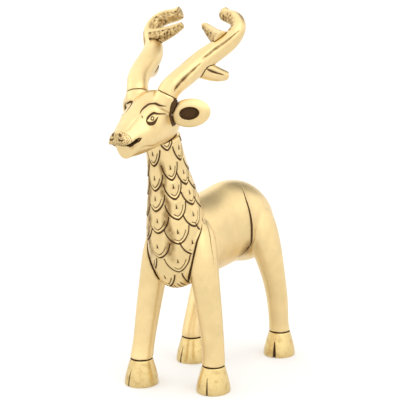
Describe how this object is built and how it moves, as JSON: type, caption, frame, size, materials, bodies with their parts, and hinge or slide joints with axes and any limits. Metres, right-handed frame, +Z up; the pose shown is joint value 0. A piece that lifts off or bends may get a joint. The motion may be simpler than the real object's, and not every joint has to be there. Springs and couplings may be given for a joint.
{
  "type": "deer figurine",
  "caption": "Standing deer stag figure in cast brass, with chased neck scales, lift-off antlers and flat-soled hooves.",
  "frame": {"origin": "on the floor, at the bottom centre of the whole figure's bounding box", "axes": "+Z up, the nose towards -Y, the deer's left side towards +X"},
  "size_m": [0.0726, 0.164, 0.2401],
  "materials": {
    "satin_brass": "satin polished brass, softly brushed, with light brown tarnish in the joints",
    "chased_brass": "satin polished brass with dark brown patina left in the chased lines",
    "brushed_brass": "coarsely brushed brass, mottled",
    "plain_brass": "bare machined brass"
  },
  "bodies": {
    "figure": {"neck_casting": "chased_brass", "barrel_casting": "satin_brass", "left_forequarter": "satin_brass", "right_forequarter": "satin_brass", "left_hindquarter": "satin_brass", "right_hindquarter": "satin_brass", "left_fore_hoof": "brushed_brass", "right_fore_hoof": "brushed_brass", "left_hind_hoof": "brushed_brass", "right_hind_hoof": "brushed_brass", "hoof_pins": "plain_brass", "head_casting": "chased_brass", "left_ear": "satin_brass", "right_ear": "satin_brass", "ear_pins": "plain_brass", "tail": "satin_brass"},
    "left_antler_set": {"left_antler": "chased_brass", "left_inner_tine": "chased_brass", "left_outer_tine": "chased_brass", "left_antler_peg": "plain_brass"},
    "right_antler_set": {"right_antler": "chased_brass", "right_inner_tine": "chased_brass", "right_outer_tine": "chased_brass", "right_antler_peg": "plain_brass"}
  },
  "joints": [
    {"name": "left_antler_lift", "type": "slide", "parent": "figure", "child": "left_antler_set", "axis": [0.3001, 0.3501, 0.8873], "range_m": [0, 0.014]},
    {"name": "right_antler_lift", "type": "slide", "parent": "figure", "child": "right_antler_set", "axis": [-0.3001, 0.3501, 0.8873], "range_m": [0, 0.014]}
  ]
}
